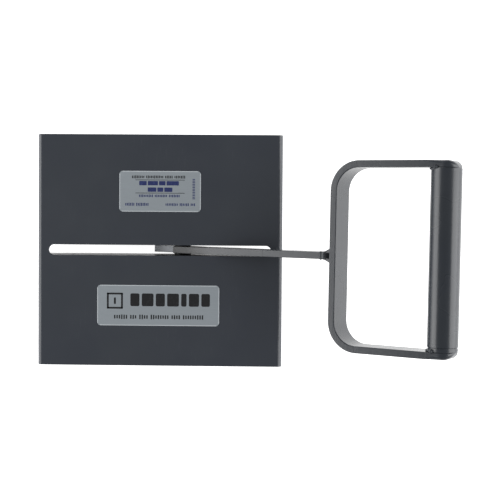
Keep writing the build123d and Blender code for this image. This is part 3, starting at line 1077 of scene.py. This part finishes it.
@dataclass
class Handle(LeverWork):
    """The C of flat bar, the grip tube across its mouth, and the welds that join them."""

    bend: float = 27.0
    end_round: float = 9.0
    round_of_thickness: float = 0.75
    round_of_height: float = 0.8
    inner_of_thickness: float = 0.2
    bar_edge: float = 0.8
    grip_end_edge: float = 3.6
    ease_run: float = 16.0
    grip_wall: float = 2.87
    grip_lip: float = 0.5
    weld_cover: float = 3.6
    toe_depth: dict[str, float] = field(default_factory=lambda: {"front": 0.7, "back": 0.12})
    bead: float = 1.05
    bead_start: float = 2.1
    start_shift: dict[str, float] = field(default_factory=lambda: {"front": -1.0, "back": 0.7})
    bead_tuck: float = 0.9
    bead_lift: float = 0.1
    bead_wander: float = 0.1
    lumps_per_mm: float = 0.35
    taper_power: int = 12
    taper_least: float = 0.04
    bead_arc_deg: tuple[float, float] = (100.0, 246.0)
    ripple_pitch: float = 1.6
    ripple: float = 0.16
    ease_steps: int = 8
    cap_steps: int = 14
    cap_gap: float = 0.45
    grip_steps: int = 128
    bead_steps: int = 72
    bead_sides: int = 14

    def __post_init__(self) -> None:
        """Read the driving sizes from the CAD frame."""
        self.low, self.high = self.axes.span("handle_frame")
        arm_low, arm_high = self.axes.span("lever_arm")
        self.thickness = arm_high.y - arm_low.y
        grip_low, grip_high = self.axes.span("grip_tube")
        self.grip_x = (grip_low.x + grip_high.x) / 2
        self.grip_radius = (grip_high.x - grip_low.x) / 2
        self.inner_y = self.high.y - self.thickness

    def leg_section(self, x: float, side: int) -> Section:
        """The section of one leg of the C.

        Args:
            x: how far along the arm.
            side: which leg, by the sign of Y.

        Returns:
            The section there.
        """
        over = max(0.0, x - (self.high.x - self.end_round))
        inset = self.end_round - math.sqrt(max(self.end_round**2 - over**2, 0.0))
        reach = self.high.x - self.grip_x
        past = max(0.0, x - self.grip_x)
        half_height = min(self.high.z, math.sqrt(reach**2 - past**2))
        thickness = self.thickness - inset
        share = min(max((x - self.grip_x + self.ease_run) / self.ease_run, 0.0), 1.0)
        ease = share * share * (3 - 2 * share)
        outer_round = self.bar_edge + (self.grip_end_edge - self.bar_edge) * ease
        outer_round = min(outer_round, self.round_of_thickness * thickness,
                          self.round_of_height * half_height)
        inner_round = min(self.bar_edge, self.inner_of_thickness * thickness)
        return Section(Vector((x, side * (self.high.y - inset), 0)), Vector((0, side, 0)),
                       thickness, half_height, outer_round, inner_round)

    def leg(self, side: int) -> list[Section]:
        """One leg of the C, from its bend to its round end.

        Args:
            side: which leg, by the sign of Y.

        Returns:
            Its sections, in order.
        """
        straight = [self.low.x + self.bend, self.grip_x - self.ease_run]
        fade = [self.grip_x - self.ease_run * (1 - i / self.ease_steps)
                for i in range(1, self.ease_steps + 1)]
        reach = self.high.x - self.grip_x - self.cap_gap
        cap = [self.grip_x + reach * math.sin(math.pi / 2 * i / self.cap_steps)
               for i in range(1, self.cap_steps + 1)]
        return [self.leg_section(x, side) for x in straight + fade + cap]

    def corner(self, side: int, steps: int = 24) -> list[Section]:
        """One bend of the C, from its leg towards the crossbar.

        Args:
            side: which bend, by the sign of Y.
            steps: steps round it.

        Returns:
            Its sections, in order.
        """
        centre = Vector((self.low.x + self.bend, side * (self.high.y - self.bend), 0))
        bend = []
        for step in range(1, steps + 1):
            angle = math.pi / 2 * step / steps
            outward = Vector((-math.sin(angle), side * math.cos(angle), 0))
            bend.append(Section(centre + outward * self.bend, outward, self.thickness,
                                self.high.z, self.bar_edge, self.bar_edge))
        return bend

    def build(self) -> None:
        """Build the C, the grip and both grip welds."""
        bm = bmesh.new()
        back = list(reversed(self.leg(Half.BACK.value))) + self.corner(Half.BACK.value)
        front = list(reversed(self.corner(Half.FRONT.value))) + self.leg(Half.FRONT.value)
        rings = [add_ring(bm, section.points()) for section in back + front]
        bridge(bm, rings)
        self.add(bm, "handle_bar", "handle_frame", self.finishes.handle)
        self.build_grip()
        for half in Half:
            self.build_grip_weld(half)

    def build_grip(self) -> None:
        """Build the grip tube as one turned ring, with a groove behind each weld's toe."""
        outer, inner, lip = self.grip_radius, self.grip_radius - self.grip_wall, self.grip_lip
        end = self.inner_y
        outline = [(inner, -end), (outer - lip, -end)]
        for half in (Half.FRONT, Half.BACK):
            depth = self.toe_depth[half.tag]
            toe = [(outer - depth / 2, end - lip), (outer, end - self.weld_cover / 2),
                   (outer - depth, end - self.weld_cover), (outer, end - self.weld_cover - lip)]
            toe = toe if half is Half.FRONT else toe[::-1]
            outline += [(radius, half.value * y) for radius, y in toe]
        outline += [(outer - lip, end), (inner, end)]
        bm = bmesh.new()
        add_ring(bm, [Vector((self.grip_x + radius, y, 0)) for radius, y in outline])
        bmesh.ops.spin(bm, geom=bm.verts[:] + bm.edges[:], cent=(self.grip_x, 0, 0),
                       axis=(0, 1, 0), angle=math.tau, steps=self.grip_steps, use_merge=True,
                       use_duplicate=False)
        bmesh.ops.recalc_face_normals(bm, faces=bm.faces)
        self.add(bm, "grip", "grip_tube")

    def build_grip_weld(self, half: Half) -> None:
        """Build the rippled bead round the handle's side of the grip, at one end.

        Args:
            half: which end.
        """
        bm = bmesh.new()
        rings = []
        first, last = (math.radians(angle) for angle in self.bead_arc_deg)
        middle = self.grip_radius + self.bead_lift * self.bead
        for step in range(self.bead_steps + 1):
            angle = first + (last - first) * step / self.bead_steps
            arc = angle * middle
            swell = 1 + self.ripple * math.sin(math.tau * arc / self.ripple_pitch)
            lump = math.exp(-((arc - first * middle) / self.bead_start - 1) ** 2)
            size = self.bead + (self.bead_start - self.bead) * lump
            shift = lump * self.start_shift[half.tag] - (1 - lump) * self.bead_tuck * self.bead
            y = half.value * (self.inner_y + shift)
            drift = self.bead_wander * noise.noise(Vector((arc * self.lumps_per_mm, y, 0)))
            radius = size * (1 - self.bead_wander + drift)
            radius *= taper(2 * step / self.bead_steps - 1, self.taper_power, self.taper_least)
            ahead = Vector((math.cos(angle), 0, math.sin(angle)))
            centre = Vector((self.grip_x, y, 0)) + ahead * middle
            rings.append(add_ring(bm, [
                centre + (ahead * math.cos(t) + Vector((0, 1, 0)) * math.sin(t)) * radius * swell
                for t in (math.tau * i / self.bead_sides for i in range(self.bead_sides))
            ]))
        bridge(bm, rings)
        self.add(bm, f"grip_bead_{half.tag}", f"grip_weld_{half.tag}", crease_deg=WELD_CREASE_DEG)


@dataclass
class Lever(LeverWork):
    """The blade, the arm and the welds at both ends of the arm."""

    bar_edge: float = 0.6
    corner_cut: float = 5.0
    toe_thickness: float = 0.3
    toe_shift: float = 0.6
    toe_sink: float = 0.6
    toe_overhang: float = 1.5
    toe_wander: float = 0.15
    splice_wander: float = 0.12
    ripple_pitch: float = 1.7
    ripple: float = 0.16
    ripple_bow: float = 0.9
    bead: float = 1.25
    taper_power: int = 10
    taper_least: float = 0.02
    fillet_root: float = 0.8
    fillet_steps: int = 88
    fillet_sides: int = 12

    def build(self) -> None:
        """Build every piece of the lever but the handle."""
        refined("lever_blade", self.finishes.blade, self.body, self.slot, self.bar_edge, 3)
        self.build_arm()
        self.build_splice_weld()
        self.build_handle_weld()

    def build_arm(self) -> None:
        """Build the arm: a flat bar whose upper corner is cut back at the handle."""
        low, high = self.axes.span("lever_arm")
        bm = bmesh.new()
        add_box(bm, low, high)
        corner = [e for e in bm.edges
                  if all(v.co.x > high.x - NEAR and v.co.z > high.z - NEAR for v in e.verts)]
        round_edges(bm, corner, self.corner_cut, 1)
        along = [e for e in sharp_edges(bm)
                 if any(v.co.x > low.x + NEAR for v in e.verts)
                 and any(v.co.x < high.x - NEAR for v in e.verts)]
        round_edges(bm, along, self.bar_edge, 3)
        self.add(bm, "arm_bar", "lever_arm")

    def build_splice_weld(self) -> None:
        """Build the bead left standing under the butt joint."""
        low, high = self.axes.span("splice_weld")
        bm = bmesh.new()
        centre, size = (low + high) / 2, high - low
        add_bead(bm, centre, size.x / 2, size.y, self.splice_wander)
        self.add(bm, "splice_bead", "splice_weld", crease_deg=WELD_CREASE_DEG)

    def build_handle_weld(self) -> None:
        """Build the concave, rippled fillet on each side of the arm, and its toe over the arm."""
        low, high = self.axes.span("handle_weld")
        arm_low, arm_high = self.axes.span("lever_arm")
        face = arm_high.y
        bm = bmesh.new()
        for half in Half:
            self.add_fillet(bm, half.value, low, high, face)
        toe = Vector((low.x + self.toe_shift, 0, arm_high.z - self.toe_sink * self.bead))
        add_bead(bm, toe, self.bead, 2 * face + self.toe_overhang, self.toe_wander)
        self.add(bm, "handle_fillets", "handle_weld", crease_deg=WELD_CREASE_DEG)

    def add_fillet(self, bm: BMesh, side: int, low: Vector, high: Vector,
                   face: float) -> None:
        """Add one fillet, skinned along the height of the bar.

        Args:
            bm: the mesh to add to.
            side: which side of the arm, by the sign of Y.
            low: the welds' lowest corner.
            high: the welds' highest corner.
            face: the arm's side face.
        """
        run, rise = high.x - low.x, high.y - face - self.toe_thickness
        radius = (run**2 + rise**2) / (2 * rise)
        sweep = math.asin(run / radius)
        rings = []
        for step in range(self.fillet_steps + 1):
            share = 2 * step / self.fillet_steps - 1
            level = high.z * share
            thinning = taper(share, self.taper_power, self.taper_least)
            points = [Vector((x, side * face * self.fillet_root, level)) for x in (high.x, low.x)]
            for i in range(self.fillet_sides + 1):
                angle = sweep * i / self.fillet_sides
                bow = self.ripple_bow * math.sin(math.pi * i / self.fillet_sides)
                wave = math.sin(math.tau * (level + bow) / self.ripple_pitch)
                lift = self.ripple * wave * math.sin(math.pi * (i + 1) / (self.fillet_sides + 2))
                x = low.x + radius * math.sin(angle) - lift * math.sin(angle)
                out = self.toe_thickness + radius * (1 - math.cos(angle)) + lift * math.cos(angle)
                points.append(Vector((min(x, high.x), side * (face + out * thinning), level)))
            rings.append(add_ring(bm, points))
        bridge(bm, rings)


def main() -> None:
    """Build the studio and the object, in order."""
    logging.basicConfig(level=logging.INFO, format="%(message)s")
    Studio().build()
    finishes = Finishes()
    axes = LeverAxes.from_frame()
    MagnetBase(finishes).build()
    Label(finishes, Half.BACK, BACK_MARKS).build()
    Label(finishes, Half.FRONT, FRONT_MARKS).build()
    Lever(finishes, axes).build()
    Handle(finishes, axes).build()


if __name__ == "__main__":
    main()
